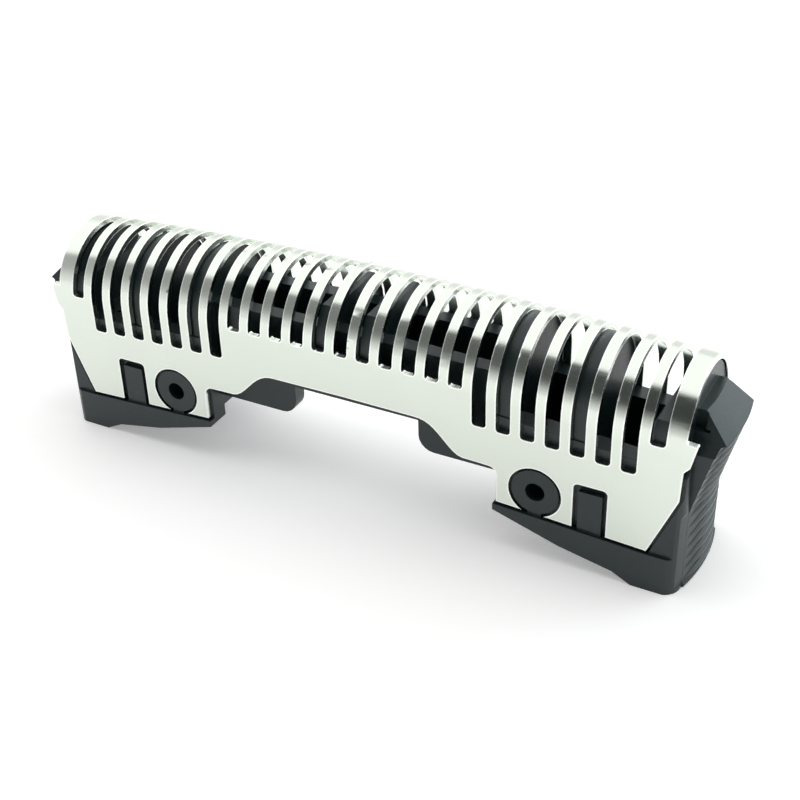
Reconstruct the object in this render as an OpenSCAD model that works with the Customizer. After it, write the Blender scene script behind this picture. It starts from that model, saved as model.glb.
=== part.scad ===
// Inner cutter block of a foil shaver: a slit steel sheet bent into an arch,
// snapped over a moulded carrier. X runs along the block, Y across it, Z up.
// The origin is the middle of the block, at the level of its feet.
// Heights are those at mid length. Everything on the sheet follows its crown.

/* [Steel sheet] */
// Width over the two side plates
blade_w = 6.6; // [6:0.1:7.2]
// Thickness of the steel
sheet_t = 0.3; // [0.2:0.05:0.4]
// Height of the sheet from the bottom of its legs to its ridge
sheet_h = 9.05; // [8.6:0.05:9.6]
// Radius of the crown along the block
crown_r = 240; // [160:10:400]
// How far the short ears stand out past the arched strip at each end
ear_w = 0.52; // [0.3:0.02:0.8]
// Depth of the top of the ears below the ridge
ear_drop = 2.55; // [2.3:0.05:2.8]

/* [Slits] */
// Distance from one slit to the next
slit_pitch = 1.25; // [1.2:0.01:1.32]
// Width of a slit
slit_w = 0.74; // [0.6:0.02:0.85]
// Radius in the bottom corners of a slit
slit_r = 0.2; // [0.1:0.02:0.25]
// Steel left between the last slit and the end of the arch
end_strip_w = 0.92; // [0.6:0.02:1.1]
// Depth of the long slits below the ridge
long_slit_d = 5.0; // [4.7:0.05:5.2]
// Depth of the middle slits below the ridge
middle_slit_d = 3.2; // [3:0.05:3.5]
// Depth of the last slit at each end
end_slit_d = 3.1; // [2.9:0.05:3.4]

/* [Lower edge of the sheet] */
// Height of the legs of the sheet above the feet
leg_z = 2.75; // [2.5:0.05:3]
// Rise of the stepped edge beside each leg
step_rise = 1.97; // [1.7:0.05:2.2]
// Rise of the middle span
span_rise = 3.55; // [3.3:0.05:3.7]
// Distance from mid length to where the span starts to curve down
curve_x = 4.05; // [3.7:0.05:4.4]
// Length of that curve
curve_l = 2.6; // [2.2:0.05:2.8]
// How far the outer corner of a leg lies inside the end of the arch
leg_inset = 1.4; // [1.1:0.02:1.5]
// Width of the square notch in each leg
notch_w = 1.7; // [1.5:0.05:1.9]
// Height of the square notch
notch_h = 2.55; // [2.2:0.05:2.7]
// Radius in the top corners of the square notch
notch_r = 0.25; // [0.1:0.05:0.4]
// Middle of the square notch, measured in from the end of the arch
notch_inset = 4.28; // [4:0.02:4.5]
// Middle of the round notch, measured in from the end of the arch
boss_inset = 7.08; // [6.8:0.02:7.2]
// Radius of the round notch that snaps over the boss
snap_r = 1.37; // [1.3:0.01:1.45]
// Height of its centre above the bottom of the leg
snap_rise = 1.22; // [1.15:0.01:1.27]
// Steel between the round notch and the inner edge of the leg
snap_tip = 0.64; // [0.5:0.02:0.75]
// Radius of the corner between the stepped edge and the leg
tip_corner_r = 0.4; // [0.2:0.05:0.5]

/* [Carrier] */
// Clearance between the inside of the sheet and the carrier
fit_gap = 0.03; // [0.02:0.01:0.06]
// Gap between the edges of the sheet and the plastic beside them
edge_gap = 0.14; // [0.1:0.01:0.2]
// How far the plastic beside the sheet lies under the face of the steel
flush_drop = 0.05; // [0:0.01:0.1]
// Wall of the foot blocks
wall_t = 1.0; // [0.8:0.05:1.1]
// Floor of the foot blocks
floor_t = 0.8; // [0.6:0.05:0.9]
// Height of the foot block walls above the long slits' bottoms
wall_lip = 0.7; // [0.4:0.05:1]
// Thickness of the cross walls
former_t = 0.9; // [0.8:0.05:1.1]
// Clearance between the cross walls and the arch
former_gap = 0.1; // [0.08:0.01:0.16]
// Length of the shelf inside each end wall
shelf_l = 0.6; // [0.4:0.05:0.8]
// Height of that shelf above the bottoms of the last slits
shelf_rise = 1.1; // [0.9:0.05:1.2]

/* [Middle beam] */
// How far the beam lies behind the face of the sheet
beam_inset = 1.25; // [1.1:0.05:1.4]
// Thickness of the two beam walls
beam_wall = 0.85; // [0.7:0.05:1]
// Height of the beam above the bottoms of the middle slits
beam_lip = 0.65; // [0.4:0.05:0.8]
// Depth of the beam below the middle span of the sheet
beam_drop = 1.1; // [0.9:0.05:1.2]
// Depth of the tongues below the stepped edge of the sheet
tongue_drop = 1.25; // [1:0.05:1.35]
// Distance from mid length to the free end of a tongue
tongue_x = 3.6; // [3:0.02:4]
// Radius on the free end of a tongue
tongue_r = 0.85; // [0.3:0.05:0.9]
// Thickness of the cheeks beside the drive slot
cheek_t = 0.7; // [0.6:0.05:0.8]
// Height of the bottom of the cheeks' sides above the middle span of the sheet
cheek_rise = 0.3; // [0.1:0.05:0.5]
// Depth of the top of the cheeks below the ridge
cheek_drop = 1.25; // [1.1:0.05:1.5]

/* [Feet] */
// Gap between the bottom of the legs and the rim under them
rim_gap = 0.12; // [0.1:0.01:0.16]
// How far the rim stands out past the face of the sheet
rim_out = 0.1; // [0.05:0.01:0.15]
// Thickness of the rim at its inner end
rim_t = 0.35; // [0.3:0.05:0.5]
// Radius of the bosses' blind holes
boss_hole_r = 0.5; // [0.4:0.02:0.6]
// Depth of those holes
boss_hole_d = 1.0; // [0.8:0.05:1.05]
// Width of the stem between a boss and the rim
boss_stem_w = 0.7; // [0.5:0.05:0.8]
// Width of the upright rib in each square notch
upright_w = 1.2; // [1:0.05:1.3]
// Gap between its top and the top of the notch
upright_gap = 0.42; // [0.3:0.02:0.6]
// Flat length of each foot that rests on a surface
sole_l = 2.4; // [2:0.1:2.8]
// How far the sole ends inside the waist of the grip
heel_in = 0.1; // [0.08:0.01:0.2]
// Radius of the heel between the sole and the end face
heel_r = 0.25; // [0.15:0.01:0.26]

/* [Finger grips] */
// How far the grip's head stands out past the end of the arch
head_out = 1.7; // [1.6:0.02:1.9]
// Gap between the end of the arch and the head
head_gap = 0.42; // [0.36:0.02:0.6]
// How far the waist of the grip stands out
waist_out = 0.52; // [0.44:0.02:0.7]
// Radius of the end face in plan
grip_r = 11.4; // [10:0.1:14]
// Radius of the ribs' crests in plan
rib_r = 6.5; // [5.5:0.1:7.5]
// Width of the grip above its waist
grip_w = 4.9; // [4.6:0.1:5.2]
// Radius of the upright corners beside the end face
corner_r = 0.9; // [0.5:0.1:1.1]
// Depth of the head's outer edge below the ridge
head_edge_drop = 2.8; // [2.7:0.05:2.9]
// Depth of the head's top below the ridge
head_top_drop = 1.66; // [1.5:0.02:1.9]
// Width of the top of the head and of the neck that joins it to the end wall
head_flat_w = 3.1; // [2.6:0.1:3.4]
// Width of the head's outer edge
head_edge_w = 4.2; // [3.8:0.1:4.5]
// Bevel along the outer edge of the head
head_bevel = 0.1; // [0.06:0.01:0.14]
// Number of ribs on an end face
rib_n = 13; // [9:1:13]
// Distance from rib to rib
rib_pitch = 0.61; // [0.56:0.01:0.64]
// How far a rib stands proud at the middle of the face
rib_h = 0.16; // [0.1:0.02:0.2]
// Width of a rib at its root
rib_w = 0.36; // [0.3:0.01:0.4]
// Middle of the top rib, below the edge of the head
top_rib_drop = 0.63; // [0.5:0.01:0.7]

/* [Hidden] */
$fn = 96;

// Slits on each side of the middle one, and how many of those are middle slits
slits_each_side = 13;
middle_each_side = 5;
// Slits whose middles the cross walls and the cheeks stand under
former_slits = [7, 10];
cheek_slit = 1;
// Steepening of the curve at the span's ends, and the number of its straight steps
curve_bias = 1.25;
curve_steps = 10;
// Outer edge of the side plate: where it turns upright, and the foot of the ear beyond
flank_share = 0.52;
flank_rise = 1.6;
flank_lean = 0.06;
ear_root_w = 0.24;
ear_root_rise = 0.35;
ear_bevel = 0.05;
// Underside of a foot: length and height shares of its two slopes
slope_l = 3.5;
slope_share = 0.5;
step_share = 0.24;
step_l = 1;
// End face: share of its height below which it is upright, how it curves out above, and its steps
waist_share = 0.52;
grip_power = 1.05;
grip_steps = 6;
// Height of the lip along the head's outer edge
lip_h = 0.2;
// Angle at which the heel's arc ends, under the level, and the number of its steps
heel_end = -15;
heel_steps = 5;
// Flat share of a rib's top
rib_flat = 0.4;
// Depth of the ribs' own roots inside the end face
rib_bed = 0.06;
// How far a rounding starts outside the face it meets, which keeps the cut clean
round_over = 0.05;
// Overshoots that keep cuts and joints clean
over = 1;
reach = 40;

arch_r = blade_w / 2;
arch_x = slits_each_side * slit_pitch + slit_w / 2 + end_strip_w;
ridge_z = leg_z + sheet_h;
bend_z = ridge_z - arch_r;
ear_x = arch_x + ear_w;
ear_z = ridge_z - ear_drop;
step_z = leg_z + step_rise;
span_z = leg_z + span_rise;
leg_x = arch_x - leg_inset;
notch_x = arch_x - notch_inset;
boss_x = arch_x - boss_inset;
boss_z = leg_z + snap_rise;
tip_x = boss_x - snap_r - snap_tip;
flank_z = leg_z + (ear_z - leg_z) * flank_share;

core_y = arch_r - sheet_t - fit_gap;
face_y = arch_r - flush_drop;
rim_y = arch_r + rim_out;
foot_x = former_slits[0] * slit_pitch - former_t / 2;
wall_z = ridge_z - long_slit_d + wall_lip;
end_wall_x = arch_x - former_gap;
beam_y = arch_r - beam_inset;
beam_top = ridge_z - middle_slit_d + beam_lip;
beam_z = span_z - beam_drop;
tongue_z = step_z - tongue_drop;
shelf_z = ridge_z - end_slit_d + shelf_rise;

head_x = arch_x + head_out;
waist_x = arch_x + waist_out;
grip_axis_x = head_x - grip_r;
head_edge_z = ridge_z - head_edge_drop;
head_top_z = ridge_z - head_top_drop;
head_in_x = arch_x + head_gap;
sole_x = waist_x - heel_in;
end_sag = sag(arch_x);

// Drop of the crown at a distance x from mid length
function sag(x) = crown_r - sqrt(crown_r * crown_r - x * x);
function crowned(points) = [for (p = points) [p[0], p[1] - sag(p[0])]];
function shifted(points, dx, dz) = [for (p = points) [p[0] + dx, p[1] + dz]];
function mirrored(points) = [for (i = [len(points) - 1:-1:0]) [-points[i][0], points[i][1]]];
function arc(x, z, r, from, to, steps) =
    [for (i = [0:steps]) let (a = from + (to - from) * i / steps) [x + r * cos(a), z + r * sin(a)]];

// Extrudes an outline drawn in X and Z, to both sides of the middle plane
module across(width) {
    rotate([90, 0, 0]) linear_extrude(height = width, center = true) children();
}

module both_ends() {
    children();
    mirror([1, 0, 0]) children();
}

// Cross section of an arch drawn upwards, with its straight sides reaching down
module arch_section(r, centre, bottom) {
    translate([0, centre]) circle(r);
    translate([-r, bottom]) square([2 * r, centre - bottom]);
}

// Slit depth by its number, counted from the middle slit
function slit_depth(n) =
    n == slits_each_side ? end_slit_d : n > middle_each_side ? long_slit_d : middle_slit_d;

// Outline of a slot open at the top, with rounded bottom corners
module slot_outline(width, r, bottom) {
    translate([-width / 2, bottom + r]) square([width, reach]);
    translate([-width / 2 + r, bottom]) square([width - 2 * r, reach]);
    for (side = [-1, 1])
        translate([side * (width / 2 - r), bottom + r]) circle(r);
}

module slits() {
    for (n = [-slits_each_side:slits_each_side])
        translate([n * slit_pitch, 0, 0])
            across(reach)
                slot_outline(slit_w, slit_r, ridge_z - slit_depth(abs(n)) - sag(n * slit_pitch));
}

// Lower edge of the middle span, curving down to the stepped edge
function span_curve() =
    [for (i = [0:curve_steps])
        let (t = i / curve_steps)
        [curve_x + curve_l * t, span_z - (span_z - step_z) * (1 - cos(180 * pow(t, curve_bias))) / 2]];

// Outer edge of the side plate, from the leg up to the top of the ear
function flank() =
    [[leg_x, leg_z], [arch_x - flank_lean, flank_z], [arch_x, flank_z + flank_rise],
     [ear_x - ear_root_w, flank_z + flank_rise + ear_root_rise],
     [ear_x, ear_z - ear_bevel], [ear_x - ear_bevel, ear_z]];

function side_plate() =
    crowned(concat(
        [[0, span_z]], span_curve(),
        arc(tip_x - tip_corner_r, step_z - tip_corner_r, tip_corner_r, 90, 0, 4),
        [[tip_x, leg_z]], flank(), [[arch_x, ear_z]]));

// The bent sheet before it is cut: one arch section swept along the crown
module bent_strip() {
    half_angle = asin((ear_x + over) / crown_r);
    translate([0, 0, ridge_z - crown_r])
        rotate([90, 0, 0])
            rotate([0, 0, 90 - half_angle])
                rotate_extrude(angle = 2 * half_angle, $fn = 2400)
                    rotate([0, 0, -90])
                        difference() {
                            arch_section(arch_r, crown_r - arch_r, crown_r - sheet_h - over);
                            arch_section(arch_r - sheet_t, crown_r - arch_r, crown_r - sheet_h - 2 * over);
                        }
}

module plate_outline() {
    right = side_plate();
    top = [[arch_x, ridge_z + over], [-arch_x, ridge_z + over]];
    polygon(concat(right, top, mirrored(right)));
}

module notches() {
    both_ends() {
        translate([boss_x, 0, boss_z - sag(boss_x)])
            rotate([90, 0, 0]) cylinder(r = snap_r, h = reach, center = true);
        translate([notch_x, 0, leg_z + notch_h - sag(notch_x)])
            mirror([0, 0, 1]) across(reach) slot_outline(notch_w, notch_r, 0);
    }
}

// Only the front plate has ears: the back one ends level with the arch
module back_ears() {
    both_ends() translate([arch_x, 0, 0]) cube(reach);
}

module blade_sheet() {
    color([0.82, 0.84, 0.82])
        difference() {
            intersection() {
                bent_strip();
                across(reach) plate_outline();
            }
            slits();
            notches();
            back_ears();
        }
}

// A cross wall that follows the inside of the arch
module cross_wall(x, thickness, bottom, top) {
    translate([x - thickness / 2, 0, 0])
        rotate([90, 0, 90]) linear_extrude(height = thickness)
            intersection() {
                arch_section(arch_r - sheet_t - former_gap, bend_z - sag(x), 0);
                translate([-reach / 2, bottom]) square([reach, top - bottom]);
            }
}

// Underside of a foot: a slope, a short step and the flat sole
function underside() =
    let (inner = leg_z - rim_gap - rim_t - sag(foot_x), sole_in = sole_x - sole_l)
    [[foot_x, inner], [foot_x + slope_l, inner * slope_share],
     [sole_in - step_l, inner * step_share], [sole_in, 0]];

// Body of a foot block. Its walls bend in with the arch, which lies lowest at the ears
module foot_core() {
    shelf_x = end_wall_x - former_t - shelf_l;
    intersection() {
        across(reach)
            polygon(concat(underside(), [
                [reach / 2, 0], [reach / 2, ear_z - end_sag], [end_wall_x, ear_z - end_sag],
                [end_wall_x, shelf_z - end_sag], [shelf_x, shelf_z - end_sag],
                [shelf_x, wall_z - end_sag], [foot_x, wall_z - sag(foot_x)]]));
        rotate([90, 0, 90]) linear_extrude(height = reach)
            arch_section(core_y, bend_z - sag(ear_x), -over);
    }
}

// Way into the foot block under the tongue
module foot_notch() {
    side = core_y - wall_t;
    translate([foot_x - over, -side, 0]) cube([former_t + over, 2 * side, tongue_z]);
}

// Pocket between the walls of the foot block, open at the top
module foot_pocket() {
    low = shifted(underside(), 0, floor_t);
    outer = end_wall_x - former_t - shelf_l - wall_t;
    across(2 * (core_y - wall_t))
        polygon([[foot_x + former_t, low[0][1]], low[1], low[2], [outer, low[2][1]],
            [outer, ridge_z], [foot_x + former_t, ridge_z]]);
}

// Rim under the legs, wider than the sheet
module rim() {
    top = leg_z - rim_gap;
    across(2 * rim_y)
        polygon(concat(underside(), [
            [reach / 2, 0], [reach / 2, top - sag(leg_x)],
            [leg_x, top - sag(leg_x)], [foot_x, top - sag(foot_x)]]));
}

// Plastic that fills the notches and stands beside the sheet, level with its face
module boss() {
    z = boss_z - sag(boss_x);
    translate([boss_x, 0, z])
        rotate([90, 0, 0]) cylinder(r = snap_r - edge_gap, h = 2 * face_y, center = true);
    translate([boss_x - boss_stem_w / 2, -face_y, leg_z - over])
        cube([boss_stem_w, 2 * face_y, z - leg_z + over]);
}

module boss_holes() {
    for (side = [-1, 1])
        translate([boss_x, side * (face_y - boss_hole_d / 2 + over), boss_z - sag(boss_x)])
            rotate([90, 0, 0]) cylinder(r = boss_hole_r, h = boss_hole_d + 2 * over, center = true);
}

module upright() {
    top = leg_z + notch_h - sag(notch_x) - upright_gap;
    translate([notch_x - upright_w / 2, -face_y, leg_z - over])
        cube([upright_w, 2 * face_y, top - leg_z + over]);
}

module end_pad() {
    ear_top = ear_z + edge_gap - end_sag;
    across(2 * face_y)
        polygon(concat(
            crowned(shifted(flank(), edge_gap, 0)),
            [[ear_x + edge_gap, ear_top], [head_in_x, ear_top], [head_in_x, ridge_z],
             [reach / 2, ridge_z], [reach / 2, leg_z - over], [leg_x + edge_gap, leg_z - over]]));
}

// Space above the end of the block, over a flat and the two slopes beside it
module above_roof() {
    top = head_top_z - end_sag;
    flat = head_flat_w / 2;
    fall = (head_top_z - head_edge_z) / (head_edge_w / 2 - flat);
    low = top - fall * (reach - flat);
    translate([end_wall_x, 0, 0])
        rotate([90, 0, 90]) linear_extrude(height = reach)
            polygon([[-reach, low], [-flat, top], [flat, top], [reach, low],
                [reach, reach], [-reach, reach]]);
}

// Plan of the end: as wide as the rim beside the sheet, then rounded in to the grip
module end_plan() {
    wide = rim_y + round_over;
    corner_y = wide - corner_r;
    face_r = waist_x - grip_axis_x + round_over;
    corner_x = grip_axis_x + sqrt(pow(face_r - corner_r, 2) - corner_y * corner_y);
    linear_extrude(height = reach) {
        translate([0, -wide]) square([corner_x, 2 * wide]);
        translate([0, -grip_w / 2]) square([reach, grip_w]);
        for (side = [-1, 1]) translate([corner_x, side * corner_y]) circle(corner_r);
    }
}

// Block between the end wall and the head, level with the head's top
module neck() {
    translate([end_wall_x - former_t / 2, -head_flat_w / 2, bend_z - end_sag])
        cube([former_t + head_gap, head_flat_w, head_top_z - bend_z]);
}

// Distance of the end face from mid length at a height on the grip
function grip_x(z) =
    let (edge = head_edge_z - end_sag,
         waist = edge * waist_share,
         t = max(0, (z - waist) / (edge - waist)))
    waist_x + (head_x - rib_h - waist_x) * pow(t, grip_power);

// Everything inside an outline that is turned about an upright axis
module turned(axis_x, points) {
    outline = concat([[axis_x, -over]], points, [[axis_x, ridge_z + over]]);
    translate([axis_x, 0, 0])
        rotate([0, 0, 180]) rotate_extrude($fn = 360) polygon(shifted(outline, -axis_x, 0));
}

// Smooth end face, from the sole over the heel up to the head
module end_face() {
    edge = head_edge_z - end_sag;
    waist = edge * waist_share;
    flare = [for (i = [0:grip_steps])
        let (z = waist + (edge - lip_h - waist) * i / grip_steps) [grip_x(z), z]];
    turned(grip_axis_x, concat(
        [[sole_x, -over]], arc(sole_x, heel_r - round_over, heel_r, -90, heel_end, heel_steps),
        [[waist_x, heel_r + round_over]], flare,
        [[head_x, edge - head_bevel], [head_x - head_bevel, edge], [head_in_x, head_top_z - end_sag],
         [head_in_x, ridge_z + over]]));
}

// Ribs stand proud of the middle of the end face and run out into its sides
module ribs() {
    top = head_edge_z - end_sag - top_rib_drop;
    half = rib_w / 2;
    crests = [for (i = [rib_n - 1:-1:0])
        let (z = top - i * rib_pitch)
        if (z - half > heel_r - round_over)
        each [[grip_x(z - half) - rib_bed, z - half], [grip_x(z) + rib_h, z - half * rib_flat],
              [grip_x(z) + rib_h, z + half * rib_flat], [grip_x(z + half) - rib_bed, z + half]]];
    turned(waist_x + rib_h - rib_r, concat([[crests[0][0], 0]], crests, [[crests[0][0], top + rib_w]]));
}

module foot_block() {
    difference() {
        intersection() {
            union() {
                difference() {
                    union() {
                        foot_core();
                        rim();
                        boss();
                        upright();
                        end_pad();
                    }
                    above_roof();
                }
                neck();
            }
            union() {
                end_face();
                ribs();
            }
            end_plan();
        }
        foot_notch();
        foot_pocket();
        boss_holes();
    }
    cross_wall(end_wall_x - former_t / 2, former_t, wall_z - 2 * over, ridge_z);
    cross_wall(former_slits[0] * slit_pitch, former_t, tongue_z, ridge_z);
    cross_wall(former_slits[1] * slit_pitch, former_t, leg_z, ridge_z);
}

function beam_side() =
    concat(
        [[0, beam_z], [tongue_x, beam_z]],
        arc(tongue_x + tongue_r, tongue_z + tongue_r, tongue_r, 180, 270, 5),
        [[foot_x + former_t / 2, tongue_z], [foot_x + former_t / 2, beam_top - sag(foot_x)]]);

module beam() {
    slot_y = beam_y - beam_wall;
    difference() {
        across(2 * beam_y)
            polygon(concat(beam_side(), [[0, beam_top]], mirrored(beam_side())));
        translate([-foot_x, -slot_y, beam_z + floor_t])
            cube([2 * foot_x, 2 * slot_y, reach]);
        translate([-foot_x, -slot_y, 0]) cube([2 * foot_x, 2 * slot_y, beam_z]);
    }
}

// Cheek beside the drive slot: as wide as the beam below, filling the arch above
module cheek() {
    x = cheek_slit * slit_pitch;
    low = span_z + cheek_rise;
    cross_wall(x, cheek_t, low, ridge_z - cheek_drop);
    translate([x - cheek_t / 2, -beam_y + beam_wall / 2, beam_z + floor_t / 2])
        cube([cheek_t, 2 * beam_y - beam_wall, low - beam_z]);
}

module drive_slot() {
    slot_x = cheek_slit * slit_pitch - cheek_t / 2;
    slot_y = beam_y - beam_wall;
    translate([-slot_x, -slot_y, 0]) cube([2 * slot_x, 2 * slot_y, reach]);
}

module carrier() {
    color([0.2, 0.23, 0.24])
        difference() {
            union() {
                beam();
                both_ends() {
                    cheek();
                    foot_block();
                }
            }
            drive_slot();
        }
}

blade_sheet();
carrier();
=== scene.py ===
import math
import bpy
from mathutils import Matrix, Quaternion, Vector

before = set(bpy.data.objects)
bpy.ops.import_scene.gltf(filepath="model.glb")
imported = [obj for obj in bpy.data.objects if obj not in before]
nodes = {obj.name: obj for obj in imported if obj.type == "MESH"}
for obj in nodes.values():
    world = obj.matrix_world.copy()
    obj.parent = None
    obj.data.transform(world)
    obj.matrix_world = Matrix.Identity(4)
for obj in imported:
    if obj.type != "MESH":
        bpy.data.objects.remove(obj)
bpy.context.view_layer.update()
print("frame loaded:", sorted(nodes))

millimetre = 0.001  # the frame is in metres
noiseRange = (0.3, 0.7)  # nearly all of a noise texture's values lie between these
mixFactor, mixA, mixB, mixResult = 0, 6, 7, 2  # sockets of a colour mix, by number because their names repeat


def linear(hexColour):
    # sRGB hex to the linear values that Blender's sockets take
    parts = [int(hexColour[i:i + 2], 16) / 255 for i in (1, 3, 5)]
    return tuple(c / 12.92 if c <= 0.04045 else ((c + 0.055) / 1.055) ** 2.4 for c in parts) + (1,)


def addNode(tree, kind, settings=None, links=None):
    # settings: properties by name and sockets by number or name; links: input socket to output socket
    node = tree.nodes.new(kind)
    for key, value in (settings or {}).items():
        if isinstance(key, str) and hasattr(node, key) and key not in node.inputs:
            setattr(node, key, value)
        else:
            node.inputs[key].default_value = value
    for key, source in (links or {}).items():
        tree.links.new(source, node.inputs[key])
    return node


def newMaterial(name):
    material = bpy.data.materials.new(name)
    material.use_nodes = True
    material.node_tree.nodes.clear()
    return material, material.node_tree


def finishMaterial(tree, shader):
    addNode(tree, "ShaderNodeOutputMaterial", links={"Surface": shader})


def dress(piece, material):
    piece.data.materials.clear()
    piece.data.materials.append(material)


# camera, at the photograph's viewing angle: place in metres, angles in degrees, lens and sensor in millimetres
cameraSettings = {
    "place": (0.03081, -0.05335, 0.04351),
    "azimuth": 28.80,
    "elevation": 32.57,
    "roll": -1.68,
    "lens": 62.8,
    "sensor": 36,
    "clip": (0.001, 10),
}


def placeCamera(s):
    data = bpy.data.cameras.new("camera")
    data.sensor_width = s["sensor"]
    data.lens = s["lens"]
    data.clip_start, data.clip_end = s["clip"]
    camera = bpy.data.objects.new("camera", data)
    bpy.context.collection.objects.link(camera)
    a, e = math.radians(s["azimuth"]), math.radians(s["elevation"])
    forward = Vector((-math.sin(a) * math.cos(e), math.cos(a) * math.cos(e), -math.sin(e)))
    roll = Quaternion((0, 0, 1), math.radians(s["roll"]))
    camera.location = s["place"]
    camera.rotation_mode = "QUATERNION"
    camera.rotation_quaternion = forward.to_track_quat("-Z", "Y") @ roll
    bpy.context.scene.camera = camera


placeCamera(cameraSettings)
print("camera placed")


# light: a white room, brighter overhead, with a dark tilted screen in front and a cool soft box behind the
# right end. Each edge of the screen is a plane through the block, given by its normal and by the distances,
# on a unit sphere, between which the screen fades in: the top, which is sharp, the soft bottom and left, and
# the right
lightSettings = {
    "roomColour": "#FFFFFF",
    "ceilingStart": (0.3, 0.5),
    "ceilingStrength": 1.35,
    "screenColour": "#343636",
    "screenEdges": (
        ((0.24, -1, -0.4), (-0.06, 0.04)),
        ((0.12, 0, 1), (-0.09, 0.44)),
        ((1, 0, 0), (-1.6, -0.1)),
        ((0, -1, 0), (0.05, 0.25)),
    ),
    "boxPlace": (0.15, 0.22, 0.13),
    "boxSize": 0.18,
    "boxPower": 0.19,
    "boxColour": "#DCEFF4",
}


def lightRoom(s):
    world = bpy.data.worlds.new("room")
    world.use_nodes = True
    bpy.context.scene.world = world
    tree = world.node_tree
    tree.nodes.clear()
    place = addNode(tree, "ShaderNodeTexCoord")

    def ramp(normal, fade, low=0.0, high=1.0):
        # low on one side of a plane through the block, high on the other, with a smooth step between
        distance = addNode(tree, "ShaderNodeVectorMath", {"operation": "DOT_PRODUCT", 1: normal},
                           {0: place.outputs["Generated"]})
        step = addNode(tree, "ShaderNodeMapRange",
                       {"interpolation_type": "SMOOTHSTEP", "From Min": fade[0], "From Max": fade[1],
                        "To Min": low, "To Max": high},
                       {"Value": distance.outputs["Value"]})
        return step.outputs[0]

    edges = [ramp(normal, fade) for normal, fade in s["screenEdges"]]
    screen = edges[0]
    for edge in edges[1:]:
        screen = addNode(tree, "ShaderNodeMath", {"operation": "MULTIPLY"}, {0: screen, 1: edge}).outputs[0]
    colour = addNode(tree, "ShaderNodeMix",
                     {"data_type": "RGBA", mixA: linear(s["roomColour"]), mixB: linear(s["screenColour"])},
                     {mixFactor: screen})
    strength = ramp((0, 0, 1), s["ceilingStart"], 1.0, s["ceilingStrength"])
    room = addNode(tree, "ShaderNodeBackground",
                   links={"Color": colour.outputs[mixResult], "Strength": strength})
    plain = addNode(tree, "ShaderNodeBackground", {"Color": linear(s["roomColour"])})
    ray = addNode(tree, "ShaderNodeLightPath")
    seen = addNode(tree, "ShaderNodeMixShader",
                   links={0: ray.outputs["Is Camera Ray"], 1: room.outputs[0], 2: plain.outputs[0]})
    addNode(tree, "ShaderNodeOutputWorld", links={"Surface": seen.outputs[0]})

    lamp = bpy.data.lights.new("softBox", "AREA")
    lamp.shape = "SQUARE"
    lamp.size = s["boxSize"]
    lamp.energy = s["boxPower"]
    lamp.color = linear(s["boxColour"])[:3]
    box = bpy.data.objects.new("softBox", lamp)
    box.location = s["boxPlace"]
    box.rotation_mode = "QUATERNION"
    box.rotation_quaternion = (-Vector(s["boxPlace"])).to_track_quat("-Z", "Y")
    bpy.context.collection.objects.link(box)


lightRoom(lightSettings)
bpy.context.scene.view_settings.view_transform = "Standard"
print("lights placed")


# floor: matt white card; the camera and reflections see it a little brighter than its light alone makes it
floorSettings = {"size": 3.0, "colour": "#F4F4F3", "lift": 0.3}


def layFloor(s):
    material, tree = newMaterial("whiteCard")
    card = addNode(tree, "ShaderNodeBsdfDiffuse", {"Color": linear(s["colour"])})
    ray = addNode(tree, "ShaderNodeLightPath")
    seen = addNode(tree, "ShaderNodeMath", {"operation": "MAXIMUM"},
                   {0: ray.outputs["Is Camera Ray"], 1: ray.outputs["Is Glossy Ray"]})
    strength = addNode(tree, "ShaderNodeMath", {"operation": "MULTIPLY", 1: s["lift"]}, {0: seen.outputs[0]})
    lift = addNode(tree, "ShaderNodeEmission", links={"Strength": strength.outputs[0]})
    both = addNode(tree, "ShaderNodeAddShader", links={0: card.outputs[0], 1: lift.outputs[0]})
    finishMaterial(tree, both.outputs[0])
    bpy.ops.mesh.primitive_plane_add(size=s["size"])
    floor = bpy.context.object
    floor.name = "floor"
    dress(floor, material)


layFloor(floorSettings)
print("floor laid")


# cold rolled stainless steel strip, slit and then polished in a bath: a soft mirror, a touch green, clouded a
# little, with faint rolling lines along the block and rounded cut edges that carry a painted highlight. The
# lines, really about 0.02 wide, are drawn as wide as the render can show, and so is the painted edge
# highlight. Sizes in millimetres
steelSettings = {
    "colour": "#DEE4DB",
    "cloudColour": "#D8DFD5",
    "cloudSize": 3.0,
    "cloudNoise": {"Detail": 3.0},
    "lineLength": 2.9,
    "lineWidth": 0.11,
    "lineDepth": 0.001,
    "lineNoise": {"Detail": 4.0, "Roughness": 0.6},
    "roughness": (0.14, 0.2),
    "edgeRadius": 0.05,
    "edgeSamples": 6,
    # painted highlight: a near-white colour laid along the cut edges, standing in for the light they catch,
    # not a colour of the steel
    "paintedHighlightColour": "#FDFFFB",
    "paintedHighlightWidth": 0.14,
    "paintedHighlightSamples": 8,
    "paintedHighlightTurn": (0.9995, 0.96),  # cosine of the edge's turn where the brightness starts and where it is full
}


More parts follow.
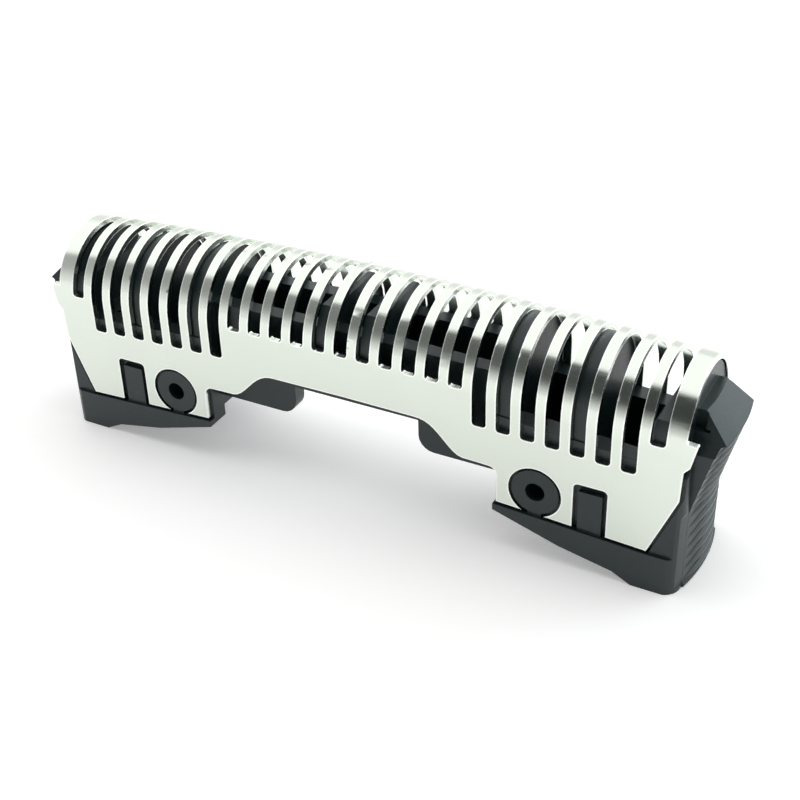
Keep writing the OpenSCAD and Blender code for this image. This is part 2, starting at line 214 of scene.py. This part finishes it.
def makeSteel(s):
    material, tree = newMaterial("rolledStainlessSteel")
    place = addNode(tree, "ShaderNodeTexCoord")
    inMillimetres = addNode(tree, "ShaderNodeMapping", {"Scale": (1 / millimetre,) * 3},
                            {"Vector": place.outputs["Object"]})
    cloud = addNode(tree, "ShaderNodeTexNoise", {"Scale": 1 / s["cloudSize"], **s["cloudNoise"]},
                    {"Vector": inMillimetres.outputs[0]})
    colour = addNode(tree, "ShaderNodeMix",
                     {"data_type": "RGBA", mixA: linear(s["colour"]), mixB: linear(s["cloudColour"])},
                     {mixFactor: cloud.outputs[0]})
    inLines = addNode(tree, "ShaderNodeMapping",
                      {"Scale": (1 / s["lineLength"], 1 / s["lineWidth"], 1 / s["lineWidth"])},
                      {"Vector": inMillimetres.outputs[0]})
    lines = addNode(tree, "ShaderNodeTexNoise", {"Scale": 1.0, **s["lineNoise"]},
                    {"Vector": inLines.outputs[0]})
    rough = addNode(tree, "ShaderNodeMapRange",
                    {"From Min": noiseRange[0], "From Max": noiseRange[1],
                     "To Min": s["roughness"][0], "To Max": s["roughness"][1]},
                    {"Value": lines.outputs[0]})
    edge = addNode(tree, "ShaderNodeBevel",
                   {"samples": s["edgeSamples"], "Radius": s["edgeRadius"] * millimetre})
    bump = addNode(tree, "ShaderNodeBump", {"Distance": s["lineDepth"] * millimetre},
                   {"Height": lines.outputs[0], "Normal": edge.outputs[0]})
    face = addNode(tree, "ShaderNodeNewGeometry")
    # painted highlight: where the wide bevel's normal turns away from the face's normal, the base colour is
    # mixed towards near white
    highlightBevel = addNode(tree, "ShaderNodeBevel",
                       {"samples": s["paintedHighlightSamples"], "Radius": s["paintedHighlightWidth"] * millimetre})
    turn = addNode(tree, "ShaderNodeVectorMath", {"operation": "DOT_PRODUCT"},
                   {0: highlightBevel.outputs[0], 1: face.outputs["Normal"]})
    paintedHighlightMask = addNode(tree, "ShaderNodeMapRange",
                     {"From Min": s["paintedHighlightTurn"][0], "From Max": s["paintedHighlightTurn"][1]},
                     {"Value": turn.outputs["Value"]})
    withPaintedHighlight = addNode(tree, "ShaderNodeMix", {"data_type": "RGBA", mixB: linear(s["paintedHighlightColour"])},
                    {mixFactor: paintedHighlightMask.outputs[0], mixA: colour.outputs[mixResult]})
    steel = addNode(tree, "ShaderNodeBsdfPrincipled", {"Metallic": 1.0},
                    {"Base Color": withPaintedHighlight.outputs[mixResult], "Roughness": rough.outputs[0],
                     "Normal": bump.outputs[0]})
    finishMaterial(tree, steel.outputs[0])
    return material


# moulded acetal: dark slate grey, clouded a little, with the eroded grain of the mould and a dull sheen. The
# grain, really about 0.04 across, is drawn as coarse as the render can show. Sizes in millimetres
acetalSettings = {
    "colour": "#172425",
    "cloudColour": "#202E2F",
    "cloudSize": 2.0,
    "cloudNoise": {"Detail": 3.0},
    "grainSize": 0.11,
    "grainDepth": 0.006,
    "grainNoise": {"Detail": 3.0, "Roughness": 0.55},
    "roughness": (0.28, 0.4),
    "edgeRadius": 0.03,
    "edgeSamples": 6,
    "ior": 1.48,
}


def makeAcetal(s):
    material, tree = newMaterial("mouldedAcetal")
    place = addNode(tree, "ShaderNodeTexCoord")
    inMillimetres = addNode(tree, "ShaderNodeMapping", {"Scale": (1 / millimetre,) * 3},
                            {"Vector": place.outputs["Object"]})
    cloud = addNode(tree, "ShaderNodeTexNoise", {"Scale": 1 / s["cloudSize"], **s["cloudNoise"]},
                    {"Vector": inMillimetres.outputs[0]})
    colour = addNode(tree, "ShaderNodeMix",
                     {"data_type": "RGBA", mixA: linear(s["colour"]), mixB: linear(s["cloudColour"])},
                     {mixFactor: cloud.outputs[0]})
    grain = addNode(tree, "ShaderNodeTexNoise", {"Scale": 1 / s["grainSize"], **s["grainNoise"]},
                    {"Vector": inMillimetres.outputs[0]})
    rough = addNode(tree, "ShaderNodeMapRange",
                    {"From Min": noiseRange[0], "From Max": noiseRange[1],
                     "To Min": s["roughness"][0], "To Max": s["roughness"][1]},
                    {"Value": grain.outputs[0]})
    edge = addNode(tree, "ShaderNodeBevel",
                   {"samples": s["edgeSamples"], "Radius": s["edgeRadius"] * millimetre})
    bump = addNode(tree, "ShaderNodeBump", {"Distance": s["grainDepth"] * millimetre},
                   {"Height": grain.outputs[0], "Normal": edge.outputs[0]})
    plastic = addNode(tree, "ShaderNodeBsdfPrincipled", {"IOR": s["ior"]},
                      {"Base Color": colour.outputs[mixResult], "Roughness": rough.outputs[0],
                       "Normal": bump.outputs[0]})
    finishMaterial(tree, plastic.outputs[0])
    return material


dress(nodes["blade_sheet"], makeSteel(steelSettings))
dress(nodes["carrier"], makeAcetal(acetalSettings))
print("materials made")
